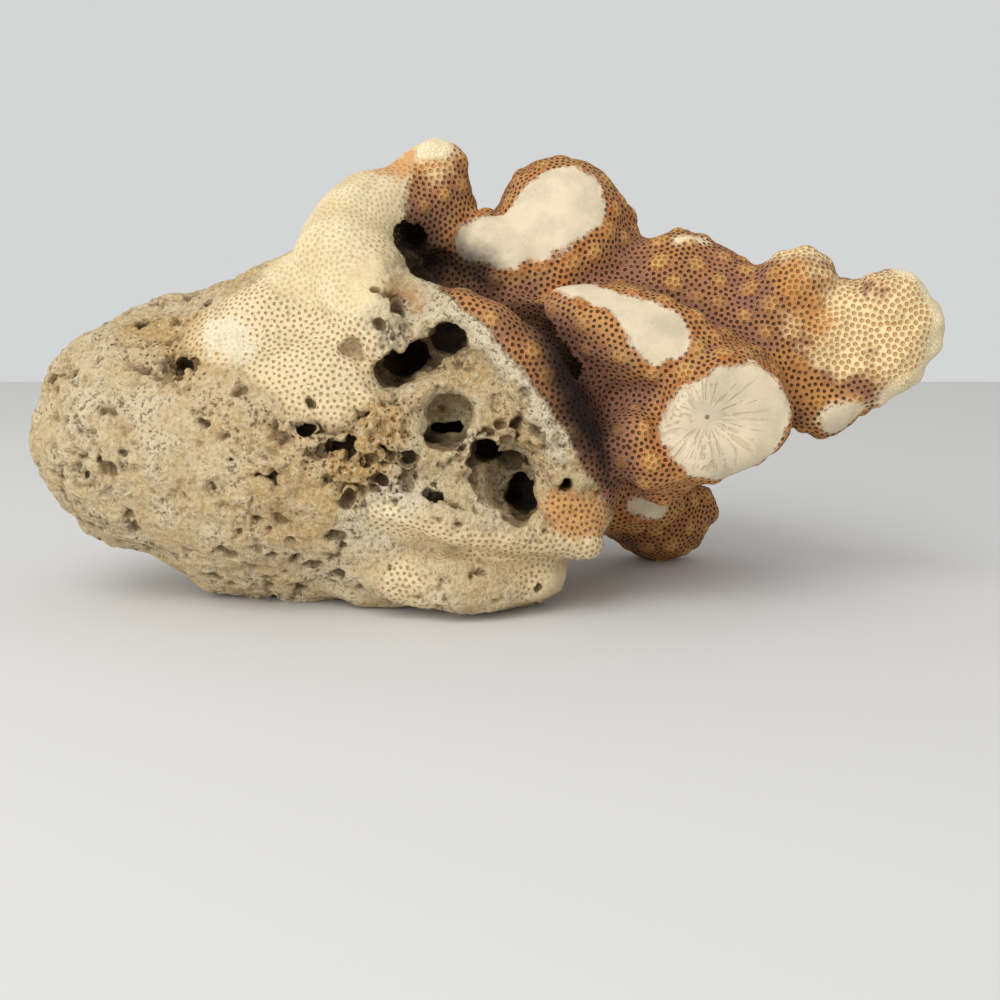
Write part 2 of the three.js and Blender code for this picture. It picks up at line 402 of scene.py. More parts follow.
def pitStalk(coral):
    points = coordinates(coral)
    normals = vertexNormals(coral)
    rng = np.random.default_rng(21)
    pits = []
    for *share, radius, depth in stalkPits["main"]:
        pits.append((place(share), radius, depth))
    for spacing, smallest, largest, depth, seed in stalkPits["scatters"]:
        spots = scatterPoints(coral, spacing, seed)
        dead = livingDepth(spots) + 2.5 * noise(spots, 12, 5) < -6
        patch = noise(spots, 16, seed + 40, 2) + 0.35 > rng.uniform(-0.4, 0.9, len(spots))
        smooth = strokeDepth(spots, stalkPits["unpitted"]) > 0
        for p in spots[dead & patch & ~smooth]:
            radius = smallest + (largest - smallest) * rng.uniform() ** 2
            pits.append((p, radius, depth * rng.uniform(0.9, 2.2)))
    nearest, _ = nearestOf(np.array([p for p, _, _ in pits]), points)
    deselectAll()
    bpy.ops.mesh.primitive_ico_sphere_add(subdivisions=2, radius=1.0, location=(0, 0, 0))
    ball = bpy.context.object
    balls = []
    for (p, radius, depth), i in zip(pits, nearest):
        inward = Vector(-normals[i])
        facing = inward.to_track_quat("Z", "Y").to_matrix().to_4x4()
        twist = facing @ Matrix.Rotation(rng.uniform(0, 6.28), 4, "Z")
        wide = rng.uniform(0.75, 1.6)
        copy = ball.copy()
        copy.data = ball.data.copy()
        middle = Vector(points[i]) + inward * (radius * depth * 0.35 * mm)
        scale = Matrix.Diagonal((radius * wide * mm, radius / wide * mm, radius * (0.5 + depth) * mm, 1.0))
        copy.data.transform(Matrix.Translation(middle) @ twist @ scale)
        bpy.context.scene.collection.objects.link(copy)
        balls.append(copy)
    bpy.data.objects.remove(ball)
    cutter = joined(balls, "pits")
    remeshed(cutter, stalkPits["voxel"] * mm)
    at = coordinates(cutter)
    ragged = noise(at, 1.6, 31, 2) * stalkPits["ragged"] * mm
    moveTo(cutter, at + vertexNormals(cutter) * ragged[:, None])
    finishWith(coral, "BOOLEAN", operation="DIFFERENCE", solver="MANIFOLD", object=cutter)
    bpy.data.objects.remove(cutter)
    print("pits", len(pits))


pitStalk(coral)
print("pitted", len(coral.data.vertices))

skin = {
    "voxel": 0.36,   # mm
    "wartSpacing": 4.3,
    "wartRadius": 2.1,
    "wartHeight": 0.5,
    "poreSample": 0.88,     # how close two pores may first be set
    "poreSpacing": 1.16,    # what they settle to
    "poreRadius": 0.31,
    "poreDepth": 0.22,
    "poreReach": 0.95,      # how far from its middle a pore is known
    "poreSets": 7,          # sets the pores are shared among
    # [length, depth, height, radius in mm]: where branch ends have worn flat and white
    "wornEnds": [
        [(0.490, 0.400, 0.770, 3.8), (0.530, 0.385, 0.790, 6.2), (0.565, 0.385, 0.820, 7.6),
         (0.590, 0.400, 0.865, 7.4)],
        [(0.581, 0.300, 0.690, 2.2), (0.606, 0.244, 0.672, 2.6), (0.650, 0.190, 0.640, 3.6),
         (0.690, 0.150, 0.595, 5.2)],
        [(0.742, 0.110, 0.395, 8.6), (0.765, 0.110, 0.410, 9.4)],
        [(0.628, 0.360, 0.212, 1.6), (0.655, 0.400, 0.200, 2.2), (0.700, 0.380, 0.175, 2.4)],
        [(0.890, 0.248, 0.392, 2.6), (0.895, 0.248, 0.396, 2.6)],
        [(0.494, 0.940, 0.788, 7.5), (0.496, 0.940, 0.788, 7.5)],
        [(0.792, 0.955, 0.495, 7.5), (0.794, 0.955, 0.495, 7.5)],
    ],
    # tips that are pale but not worn
    "paleTips": [
        [(0.900, 0.280, 0.600, 8.0), (0.985, 0.280, 0.570, 12.0)],
        [(0.835, 0.300, 0.770, 4.0), (0.860, 0.300, 0.740, 5.0)],
        [(0.435, 0.420, 0.975, 5.0), (0.445, 0.420, 0.985, 5.0)],
    ],
    # rims of the tips, bare of pores
    "ivory": [
        [(0.835, 0.270, 0.780, 2.2), (0.870, 0.270, 0.765, 2.4), (0.905, 0.270, 0.735, 2.6),
         (0.950, 0.270, 0.745, 3.0),
         (0.985, 0.270, 0.700, 4.2), (1.000, 0.270, 0.610, 4.6), (0.985, 0.260, 0.520, 4.0),
         (0.945, 0.250, 0.455, 3.4)],
        [(0.425, 0.400, 0.985, 3.8), (0.448, 0.420, 0.985, 3.8)],
        [(0.885, 0.248, 0.400, 3.0), (0.905, 0.248, 0.410, 3.0)],
        [(0.560, 0.110, 0.060, 3.0), (0.585, 0.130, 0.075, 3.4)],
        [(0.720, 0.400, 0.780, 1.4), (0.750, 0.420, 0.785, 1.6)],
    ],
    # orange stain
    "stain": [
        [(0.378, 0.360, 0.890, 2.6), (0.415, 0.390, 0.930, 3.2), (0.452, 0.420, 0.960, 2.8)],
        [(0.420, 0.100, 0.680, 2.2), (0.434, 0.090, 0.650, 1.8)],
        [(0.820, 0.250, 0.500, 4.0), (0.870, 0.250, 0.440, 3.0)],
        [(0.588, 0.091, 0.216, 4.4), (0.606, 0.110, 0.216, 4.4)],
        [(0.835, 0.280, 0.700, 3.0), (0.865, 0.270, 0.600, 3.0)],
    ],
    # crumbling run full of small holes
    "crumbled": [
        [(0.300, 0.010, 0.420, 5.0), (0.360, 0.010, 0.380, 9.0), (0.395, 0.010, 0.320, 8.0),
         (0.420, 0.010, 0.420, 6.0)],
        [(0.090, 0.200, 0.600, 4.0), (0.190, 0.110, 0.530, 6.0)],
        [(0.375, 0.080, 0.690, 3.0), (0.395, 0.070, 0.600, 4.0)],
        [(0.480, 0.030, 0.370, 4.0), (0.500, 0.030, 0.300, 4.0)],
    ],
    # smooth pale skin on the saddle and the horn's left side
    "smoothSkin": [
        [(0.400, 0.080, 0.620, 3.0), (0.360, 0.100, 0.700, 7.0), (0.320, 0.180, 0.770, 11.0),
         (0.350, 0.260, 0.860, 11.0), (0.400, 0.340, 0.930, 9.0), (0.440, 0.420, 0.980, 7.0)],
    ],
    # dead skin that still shows its pores
    "faintPores": [
        [(0.225, 0.130, 0.600, 8.0), (0.300, 0.100, 0.620, 13.0), (0.340, 0.080, 0.530, 11.0)],
        [(0.400, 0.030, 0.215, 4.5), (0.500, 0.030, 0.170, 5.0), (0.620, 0.100, 0.150, 6.0)],
        [(0.420, 0.080, 0.080, 6.0), (0.580, 0.130, 0.080, 6.0)],
        [(0.320, 0.180, 0.770, 12.0), (0.400, 0.340, 0.900, 11.0)],
        [(0.588, 0.091, 0.216, 5.5), (0.606, 0.110, 0.216, 5.5)],
    ],
    # dark run between the rim and the branches, painted purple: partly the living skin's tone, partly
    # painted shade
    "valleyShade": [
        [(0.442, 0.360, 0.755, 7.0), (0.497, 0.330, 0.670, 8.0), (0.571, 0.180, 0.540, 7.0),
         (0.610, 0.150, 0.430, 6.5), (0.635, 0.160, 0.300, 6.0)],
    ],
    # painted shadow where the valley is all but black, on the front side
    "paintedShadow": [
        [(0.404, 0.330, 0.810, 2.6), (0.416, 0.330, 0.765, 3.4), (0.440, 0.330, 0.735, 3.4),
         (0.500, 0.380, 0.708, 2.6)],
        [(0.550, 0.100, 0.610, 0.6), (0.577, 0.078, 0.560, 2.4), (0.588, 0.066, 0.507, 3.2),
         (0.597, 0.060, 0.453, 3.6),
         (0.608, 0.066, 0.416, 3.4), (0.618, 0.080, 0.373, 2.8), (0.627, 0.093, 0.331, 1.8),
         (0.632, 0.110, 0.290, 0.6)],
    ],
    "chalk": [[(0.215, 0.140, 0.615, 2.2), (0.235, 0.120, 0.585, 3.8), (0.252, 0.110, 0.550, 3.0)]],
    # crumbling white lime on the rim
    "lime": [
        [(0.486, 0.070, 0.636, 4.5), (0.519, 0.060, 0.605, 5.5), (0.547, 0.050, 0.535, 5.0),
         (0.565, 0.045, 0.457, 4.0), (0.583, 0.050, 0.375, 3.5)],
        [(0.380, 0.020, 0.200, 5.0), (0.420, 0.020, 0.270, 4.0)],
        [(0.395, 0.060, 0.620, 5.0), (0.440, 0.080, 0.640, 4.0)],
    ],
    "ochre": [
        [(0.130, 0.260, 0.590, 6.0), (0.175, 0.180, 0.600, 6.0), (0.200, 0.120, 0.550, 7.0)],
        [(0.590, 0.091, 0.216, 5.0), (0.606, 0.110, 0.216, 5.0)],
        [(0.375, 0.030, 0.330, 6.0), (0.400, 0.020, 0.420, 5.0)],
        [(0.440, 0.030, 0.190, 3.0), (0.520, 0.030, 0.160, 3.0)],
    ],
}


def bulgeOf(form):
    # how far each vertex stands out from a much smoother copy, in mm
    soft = form.copy()
    soft.data = form.data.copy()
    bpy.context.scene.collection.objects.link(soft)
    finishWith(soft, "SMOOTH", factor=0.5, iterations=160)
    out = np.einsum("ij,ij->i", coordinates(form) - coordinates(soft), vertexNormals(soft)) / mm
    bpy.data.objects.remove(soft)
    return out


uncutPoints, uncutNormals, uncutBulge = coordinates(uncut), vertexNormals(uncut), bulgeOf(uncut)
bpy.data.objects.remove(uncut)
print("bulge", uncutBulge.min(), uncutBulge.max())


def readSkin(points):
    # what each point of the skin is, from its place: every figure in mm, more is further in
    near, _ = nearestOf(points, uncutPoints)
    read = {
        "bulge": uncutBulge[near],
        "sunk": -np.einsum("ij,ij->i", points - uncutPoints[near], uncutNormals[near]) / mm,
        "living": livingDepth(points) + 1.6 * noise(points, 7.0, 2, 3),
        "worn": strokeDepth(points, skin["wornEnds"]) + 1.5 * noise(points, 4.0, 9, 3),
        "smoothSkin": smoothStep(strokeDepth(points, skin["smoothSkin"]) + noise(points, 6.0, 14, 2), -1, 2),
        "faint": smoothStep(strokeDepth(points, skin["faintPores"]) + noise(points, 5.0, 16, 2), 0, 2.5),
    }
    for name in ("paleTips", "valleyShade", "chalk", "ochre", "lime", "ivory", "stain", "crumbled"):
        read[name] = strokeDepth(points, skin[name])
    # painted shadow along the valley's blackest run, flattened in depth
    read["paintedShadow"] = strokeDepth(points, skin["paintedShadow"], 0.2) + 1.2 * noise(points, 4.0, 24, 2)
    read["alive"] = smoothStep(read["living"], -1.0, 1.5)
    read["wornShare"] = smoothStep(read["worn"], -0.4, 0.8)
    read["poreShow"] = np.maximum(read["alive"], 0.6 * read["faint"]) * (1 - 0.9 * read["wornShare"])
    read["poreShow"] *= 1 - 0.55 * read["smoothSkin"] * (1 - read["alive"])
    read["poreShow"] *= 1 - 0.9 * smoothStep(read["ivory"] + 1.2 * noise(points, 3.0, 18, 2), -0.8, 1.2)
    return read


def settle(spots, surface, rounds=5):
    # pushes pores apart until they stand evenly, keeping them on the skin
    skinTable = nearestTable(surface)
    spacing = skin["poreSpacing"] * mm
    for _ in range(rounds):
        table = nearestTable(spots)
        near = np.array([[hit[1] for hit in table.find_n(p, 7)] for p in spots])
        away = spots[:, None, :] - spots[near[:, 1:]]
        far = np.linalg.norm(away, axis=2)
        push = np.clip(spacing - far, 0, None) / np.maximum(far, 1e-7)
        spots = spots + 0.35 * (away * push[:, :, None]).sum(axis=1)
        hits = np.array([skinTable.find(p)[1] for p in spots])
        foot, up = surface[hits], surfaceNormals[hits]
        spots = spots - up * np.einsum("ij,ij->i", spots - foot, up)[:, None]
    return spots


remeshed(coral, skin["voxel"] * mm)
finishWith(coral, "SMOOTH", factor=0.5, iterations=1)
points, normals = coordinates(coral), vertexNormals(coral)
print("fine skin", len(points))
read = readSkin(points)
alive, wornShare, smooth = read["alive"], read["wornShare"], read["smoothSkin"]

relief = {      # heights in mm
    "lumps": 0.8,       # over the whole coral
    "nubs": 0.25,       # on the branches
    "waves": 0.75,      # the rest is on the dead stalk
    "crumbs": 0.85,
    "holes": 1.4,
    "pocks": 1.1,
    "grain": 0.3,
}

# warts: low rosettes on the branches
rng = np.random.default_rng(5)
wartSpots = scatterPoints(coral, skin["wartSpacing"], 12)
wartNear, _ = nearestOf(wartSpots, uncutPoints)
wartSpots = wartSpots[(livingDepth(wartSpots) > 2.0) & (uncutBulge[wartNear] > -0.9)]
wartSize = rng.uniform(0.75, 1.15, len(wartSpots))


def wartsAt(points, read):
    index, far = nearestOf(points, wartSpots)
    dome = np.clip(1 - (far / (skin["wartRadius"] * wartSize[index])) ** 2, 0, 1) ** 1.3
    return dome * (1 - read["wornShare"]) * read["alive"] * smoothStep(read["bulge"], -1.3, -0.3)


wart = wartsAt(points, read)
lumps = noise(points, 10.0, 3, 2) * relief["lumps"] * (1 - 0.8 * wornShare)
nubs = noise(points, 3.6, 33, 2) * relief["nubs"] * alive * (1 - wornShare)
dead = (1 - alive) * (1 - 0.85 * smooth) * (1 - 0.75 * read["faint"])
waves = noise(points * np.array((0.45, 1, 1.6)), 3.6, 44, 3) * relief["waves"]
crumbs = smoothStep(noise(points, 1.9, 51, 3, 0.6), 0.10, 0.42)
crumbs *= smoothStep(noise(points, 11.0, 52, 2), -0.35, 0.25)
holes = smoothStep(noise(points, 3.4, 61, 3, 0.6), 0.30, 0.50)
crumbled = smoothStep(read["crumbled"] + 2.0 * noise(points, 5.0, 81, 2), -1, 3)
pocks = smoothStep(noise(points, 1.7, 91, 2, 0.6), 0.02, 0.32) * crumbled
eroded = waves - relief["crumbs"] * crumbs - relief["holes"] * holes - relief["pocks"] * pocks
eroded = (eroded + noise(points, 1.2, 71, 2) * relief["grain"]) * dead
rise = wart * skin["wartHeight"] + lumps + nubs + eroded
points = points + normals * (rise * mm)[:, None]
moveTo(coral, points)
normals = vertexNormals(coral)
surfaceNormals = normals
print("warts", len(wartSpots))

# pores
poreSpots = scatterPoints(coral, skin["poreSample"], 30)
poreSpots = poreSpots[(livingDepth(poreSpots) > -4) | (strokeDepth(poreSpots, skin["faintPores"]) > -1)]
poreSpots = settle(poreSpots, points)
index, far = nearestOf(points, poreSpots)
sink = np.clip(1 - (far / (skin["poreRadius"] * 1.3)) ** 2, 0, 1) * read["poreShow"]
points = points - normals * (sink * skin["poreDepth"] * mm)[:, None]
points[:, 2] = np.maximum(points[:, 2], 0)     # nothing reaches under the surface it lies on
moveTo(coral, points)


def sortPores(spots):
    # shares the pores among a few sets, so that two of one set never stand side by side
    table = nearestTable(spots)
    chosen = np.full(len(spots), -1)
    for i, p in enumerate(spots):
        gap = np.full(skin["poreSets"], 1.0)
        for _, j, far in table.find_n(p, 18):
            if chosen[j] >= 0:
                gap[chosen[j]] = min(gap[chosen[j]], far)
        chosen[i] = np.argmax(gap)
    return [spots[chosen == i] for i in range(skin["poreSets"])]


poreGroups = sortPores(poreSpots)
print("pores", [len(group) for group in poreGroups])


def pieceOf(coral, node, index):
    group, start, end = openGroup("take")
    named = group.nodes.new("GeometryNodeInputNamedAttribute")
    named.data_type = "INT"
    named.inputs["Name"].default_value = "pieceIndex"
    same = group.nodes.new("FunctionNodeCompare")
    same.data_type = "INT"
    same.operation = "EQUAL"
    same.inputs[3].default_value = index
    part = group.nodes.new("GeometryNodeSeparateGeometry")
    part.domain = "FACE"
    group.links.new(named.outputs["Attribute"], same.inputs[2])
    group.links.new(same.outputs[0], part.inputs["Selection"])
    group.links.new(start.outputs[0], part.inputs["Geometry"])
    group.links.new(part.outputs["Selection"], end.inputs[0])
    piece = coral.copy()
    piece.data = coral.data.copy()
    piece.name = piece.data.name = node + "_skin"
    bpy.context.scene.collection.objects.link(piece)
    finishWith(piece, "NODES", node_group=group)
    bpy.data.node_groups.remove(group)
    return piece


def tagPieces(coral, names):
    # gives each face the index of the CAD node that it lies nearest to
    copies = []
    for i, name in enumerate(names):
        copy = cleanCopy(name, "tag_" + name)
        mark = copy.data.attributes.new("node", "INT", "FACE")
        mark.data.foreach_set("value", np.full(len(copy.data.polygons), i, np.int32))
        copies.append(copy)
    target = joined(copies, "tags")
    group, start, end = openGroup("tag")
    source = group.nodes.new("GeometryNodeObjectInfo")
    source.inputs["Object"].default_value = target
    named = group.nodes.new("GeometryNodeInputNamedAttribute")
    named.data_type = "INT"
    named.inputs["Name"].default_value = "node"
    sample = group.nodes.new("GeometryNodeSampleNearestSurface")
    sample.data_type = "INT"
    keep = group.nodes.new("GeometryNodeStoreNamedAttribute")
    keep.data_type = "INT"
    keep.domain = "FACE"
    keep.inputs["Name"].default_value = "pieceIndex"
    group.links.new(source.outputs["Geometry"], sample.inputs["Mesh"])
    group.links.new(named.outputs["Attribute"], sample.inputs["Value"])
    group.links.new(start.outputs[0], keep.inputs["Geometry"])
    group.links.new(sample.outputs["Value"], keep.inputs["Value"])
    group.links.new(keep.outputs["Geometry"], end.inputs[0])
    finishWith(coral, "NODES", node_group=group)
    bpy.data.objects.remove(target)


def islandSizes(pairs, count):
    # for every face, how many faces its island has, where the pairs say which faces are joined
    island = np.arange(count)
    while len(pairs) and (island[pairs[:, 0]] != island[pairs[:, 1]]).any():
        ends = np.sort(island[pairs], axis=1)
        np.minimum.at(island, ends[:, 1], ends[:, 0])
        while (island[island] != island).any():
            island = island[island]
    return np.bincount(island, minlength=count)[island]


def tidyTags(coral, crumb=1500, smallest=600, rounds=60):
    # marks loose crumbs with -1, and gives a small stray patch to the piece around it
    mesh = coral.data
    tags = np.empty(len(mesh.polygons), np.int32)
    mesh.attributes["pieceIndex"].data.foreach_get("value", tags)
    edges = np.empty(len(mesh.loops), np.int32)
    mesh.loops.foreach_get("edge_index", edges)
    sides = np.empty(len(mesh.polygons), np.int32)
    mesh.polygons.foreach_get("loop_total", sides)
    order = np.argsort(edges, kind="stable")
    faces = np.repeat(np.arange(len(sides)), sides)[order]
    shared = edges[order][1:] == edges[order][:-1]
    pairs = np.stack((faces[:-1][shared], faces[1:][shared]), axis=1)
    loose = islandSizes(pairs, len(tags)) < crumb
    stray = (islandSizes(pairs[tags[pairs[:, 0]] == tags[pairs[:, 1]]], len(tags)) < smallest) & ~loose
    print("loose faces", loose.sum(), "stray faces", stray.sum())
    for _ in range(rounds):
        for a, b in (pairs.T, pairs.T[::-1]):
            take = stray[a] & ~stray[b]
            tags[a[take]] = tags[b[take]]
            stray[a[take]] = False
        if not stray.any():
            break
    tags[loose] = -1
    mesh.attributes["pieceIndex"].data.foreach_set("value", tags)
    return tags


names = sorted(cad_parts)
tagPieces(coral, names)
tags = tidyTags(coral)
print("faces by piece", dict(zip(names, np.bincount(tags[tags >= 0], minlength=len(names)).tolist())))


def store(piece, name, kind, values):
    attribute = piece.data.attributes.new(name, kind, "POINT")
    field = "vector" if kind == "FLOAT_VECTOR" else "value"
    attribute.data.foreach_set(field, values.astype(np.float32).ravel())


def paint(piece):
    # keeps what the finish reads on the piece's own vertices
    points, normals = coordinates(piece), vertexNormals(piece)
    read = readSkin(points)
    for i, group in enumerate(poreGroups):
        index, far = nearestOf(points, group)
        # away from a pore its middle is kept well off the skin, so that none shows half way to the next
        away = np.where(far > skin["poreReach"], 6.0, 0.0) * mm
        store(piece, "poreSet" + str(i), "FLOAT_VECTOR", group[index] + normals * away[:, None])
    read["wart"] = wartsAt(points, read)
    for name in ("poreShow", "living", "worn", "wart", "bulge", "sunk", "smoothSkin", "faint", "paleTips",
                 "valleyShade", "chalk", "ochre", "lime", "ivory", "stain", "crumbled", "paintedShadow"):
        store(piece, name, "FLOAT", read[name])

# the dirt tone stands for dirt and for painted shade; the darkest pit and valley tones are painted shade
coralTones = {
    "sand": (220, 194, 146), "paleSand": (234, 216, 178), "ochre": (206, 160, 90), "dirtAndShade": (112, 84, 48),
    "pitShade": (52, 36, 20), "chalk": (214, 205, 182), "lime": (238, 224, 190), "smooth": (212, 193, 150),
    "brown": (160, 108, 72), "rust": (180, 116, 60), "purple": (134, 90, 76), "valleyShadeDark": (62, 36, 28),
    "pore": (64, 34, 22), "goldPore": (178, 116, 52), "faintPore": (180, 142, 92),
    "rustPore": (112, 62, 28), "wartTop": (210, 164, 98), "stain": (200, 138, 72), "rim": (174, 98, 46),
    "cream": (230, 206, 156), "ivory": (232, 216, 178), "worn": (216, 200, 170), "wornGrey": (202, 187, 160),
}

coralFinish = {
    # clouds of colour: [turns per mm, detail, roughness]
    "blotch": (0.045, 4, 0.55),
    "patch": (0.16, 4, 0.60),
    "mottle": (0.7, 4, 0.60),
    "fine": (3.2, 3, 0.60),
    "grit": (1.15, 6, 0.66),
    "hub": (0.736, 0.106, 0.418),    # middle of the front stub's disc
    "roughness": 0.88,
    "specular": 0.25,
    "bumpStrength": 0.9,
    "bumpHeight": 0.6,               # mm
}


def tone(name):
    return [((c / 255 + 0.055) / 1.055) ** 2.4 for c in coralTones[name]] + [1.0]


def addCoralMaterial():
    # reads what paint() keeps on each piece: figures are mm further in, shares run from 0 to 1
    material = bpy.data.materials.new("coralSkeleton")
    material.use_nodes = True
    tree = material.node_tree
    shader = tree.nodes["Principled BSDF"]

    def feed(socket, value):
        if isinstance(value, bpy.types.NodeSocket):
            tree.links.new(value, socket)
        else:
            socket.default_value = value

    def maths(operation, *values):
        node = tree.nodes.new("ShaderNodeMath")
        node.operation = operation
        for socket, value in zip(node.inputs, values):
            feed(socket, value)
        return node.outputs[0]

    def times(first, *others):
        for other in others:
            first = maths("MULTIPLY", first, other)
        return first

    def plus(first, second):
        return maths("ADD", first, second)

    def minus(first, second):
        return maths("SUBTRACT", first, second)

    def larger(first, second):
        return maths("MAXIMUM", first, second)

    def vectors(operation, first, second=None):
        node = tree.nodes.new("ShaderNodeVectorMath")
        node.operation = operation
        feed(node.inputs[0], first)
        if second is not None:
            feed(node.inputs[1], second)
        return node.outputs

    def band(value, start, end):
        node = tree.nodes.new("ShaderNodeMapRange")
        node.interpolation_type = "SMOOTHSTEP"
        feed(node.inputs["Value"], value)
        node.inputs["From Min"].default_value = start
        node.inputs["From Max"].default_value = end
        return node.outputs["Result"]

    def blend(share, first, second):
        node = tree.nodes.new("ShaderNodeMix")
        node.data_type = "RGBA"
        feed(node.inputs[0], share)
        feed(node.inputs[6], tone(first) if isinstance(first, str) else first)
        feed(node.inputs[7], tone(second) if isinstance(second, str) else second)
        return node.outputs[2]

    def read(name, output="Fac"):
        node = tree.nodes.new("ShaderNodeAttribute")
        node.attribute_name = name
        return node.outputs[output]

    inObject = tree.nodes.new("ShaderNodeTexCoord").outputs["Object"]
    inMm = tree.nodes.new("ShaderNodeVectorMath")
    inMm.operation = "SCALE"
    feed(inMm.inputs[0], inObject)
    inMm.inputs["Scale"].default_value = 1 / mm
    inMm = inMm.outputs[0]

    def cloud(scale, detail, roughness, where=inMm):
        node = tree.nodes.new("ShaderNodeTexNoise")
        feed(node.inputs["Vector"], where)
        node.inputs["Scale"].default_value = scale
        node.inputs["Detail"].default_value = detail
        node.inputs["Roughness"].default_value = roughness
        return node.outputs["Fac"]

    def cells(scale):
        node = tree.nodes.new("ShaderNodeTexVoronoi")
        feed(node.inputs["Vector"], inMm)
        node.inputs["Scale"].default_value = scale
        return node.outputs["Distance"]

    blotch = cloud(*coralFinish["blotch"])
    patch = cloud(*coralFinish["patch"])
    mottle = cloud(*coralFinish["mottle"])
    fine = cloud(*coralFinish["fine"])
    grit = cloud(*coralFinish["grit"])
    patchJitter, jitter = minus(patch, 0.5), minus(mottle, 0.5)
    fineJitter, gritJitter = minus(fine, 0.5), minus(grit, 0.5)

    # pores: distance in mm to the middle of the nearest one
    poreFar = 9.0
    for i in range(skin["poreSets"]):
        apart = vectors("DISTANCE", inObject, read("poreSet" + str(i), "Vector"))["Value"]
        poreFar = maths("MINIMUM", poreFar, times(apart, 1 / mm))
    poreFar = plus(poreFar, times(fineJitter, 0.14))
    livingShare = band(plus(read("living"), times(jitter, 3.0)), -0.8, 0.8)
    poreSize = plus(skin["poreRadius"] - 0.05, times(patchJitter, 0.16))
    poreSize = plus(poreSize, times(livingShare, 0.05))
    poreEdge = minus(poreFar, poreSize)
    inPore = band(poreEdge, 0.05, -0.06)
    poreRing = times(band(poreEdge, 0.0, 0.07), band(poreEdge, 0.24, 0.12))

    # dead, eroded skeleton: sand and ochre, flecked with lime and dirt, with painted shade in its low grit,
    # pits and borings
    dead = blend(band(patch, 0.38, 0.62), "sand", "paleSand")
    ochreShare = band(plus(read("ochre"), times(patchJitter, 14.0)), -1.0, 4.0)
    dead = blend(times(ochreShare, 0.75), dead, "ochre")
    dead = blend(times(band(blotch, 0.50, 0.64), 0.4), dead, "ochre")
    limeShare = band(plus(read("lime"), times(jitter, 9.0)), -0.5, 2.0)
    chalkShare = band(plus(read("chalk"), times(jitter, 10.0)), -0.5, 0.8)
    rough = minus(1.0, larger(read("smoothSkin"), times(read("faint"), 0.8)))
    rough = times(rough, minus(1.0, times(chalkShare, 0.35)))
    dead = blend(times(band(grit, 0.50, 0.62), rough, 0.75), dead, "paleSand")
    dead = blend(times(limeShare, 0.9), dead, "lime")
    # dark gaps where the grit, the cloud that the bump raises, lies low: partly dirt, partly painted shade
    gaps = times(band(plus(grit, times(jitter, 0.35)), 0.47, 0.38), rough)
    gapShare = plus(0.28, times(larger(band(patch, 0.47, 0.62), limeShare), 0.5))
    dead = blend(times(gaps, gapShare), dead, "dirtAndShade")
    crumbledShare = band(plus(read("crumbled"), times(jitter, 9.0)), -1.0, 3.0)
    specks = band(plus(cells(0.95), times(gritJitter, 0.7)), 0.30, 0.20)
    specks = times(specks, plus(times(band(patch, 0.42, 0.60), 0.6), crumbledShare))
    specks = times(maths("MINIMUM", specks, 1.0), rough)
    dead = blend(times(specks, 0.85), dead, "dirtAndShade")
    dead = blend(times(chalkShare, minus(0.95, times(gaps, 0.5))), dead, "chalk")
    dead = blend(times(read("smoothSkin"), 0.9), dead, "smooth")
    dead = blend(times(read("faint"), 0.6), dead, blend(band(patch, 0.4, 0.6), "paleSand", "smooth"))
    # painted shade, partly dirt: the further a point lies below the uncut form, in pits and borings, the
    # darker it is painted
    sunk = plus(read("sunk"), times(jitter, 1.4))
    dead = blend(times(band(sunk, 0.4, 1.3), 0.65), dead, "dirtAndShade")
    dead = blend(times(band(sunk, 1.0, 3.6), 0.9), dead, "pitShade")

    # stained, living side: brown and purple, paler on warts and tips, with painted shade in its valley,
    # hollows and pits
    alive = blend(band(patch, 0.36, 0.56), "purple", "brown")
    alive = blend(times(band(blotch, 0.48, 0.60), 0.55), alive, "rust")
    outer = band(plus(read("bulge"), times(jitter, 2.0)), 0.4, 2.2)
    alive = blend(times(outer, 0.22), alive, "wartTop")
    wartShare = band(plus(read("wart"), times(jitter, 0.7)), 0.15, 0.75)
    wartTint = plus(0.40, times(band(patch, 0.40, 0.60), 0.4))
    alive = blend(times(wartShare, wartTint), alive, "wartTop")
    # purple along the valley and in hollows: partly the living skin's tone, partly painted shade
    valleyShadeShare = band(plus(read("valleyShade"), times(jitter, 4.0)), -3.0, 1.0)
    hollowShadeShare = band(read("bulge"), 0.1, -1.0)
    alive = blend(times(larger(valleyShadeShare, hollowShadeShare), 0.85), alive, "purple")
    # painted shade: the living skin darkens the deeper it lies below the uncut form
    alive = blend(times(band(sunk, 0.8, 3.5), 0.9), alive, "valleyShadeDark")
    stainShare = band(plus(read("stain"), times(jitter, 6.0)), -1.2, 1.2)
    wornEdge = plus(read("worn"), times(jitter, 2.6))
    alive = blend(times(band(wornEdge, -4.5, -1.5), 0.4), alive, "wartTop")
    rimShare = band(plus(wornEdge, times(patchJitter, 8.0)), -2.4, -0.4)
    rimShare = times(rimShare, plus(0.42, times(band(mottle, 0.38, 0.62), 0.5)))
    paleShare = band(plus(read("paleTips"), times(patchJitter, 24.0)), -3.0, 3.0)
    alive = blend(paleShare, alive, "cream")
    alive = blend(rimShare, alive, "rim")
    alive = blend(times(stainShare, 0.7), alive, "stain")
    ivoryShare = band(plus(read("ivory"), times(jitter, 3.0)), -0.8, 1.4)
    alive = blend(ivoryShare, alive, "ivory")
    alive = blend(times(poreRing, 0.25), alive, "wartTop")

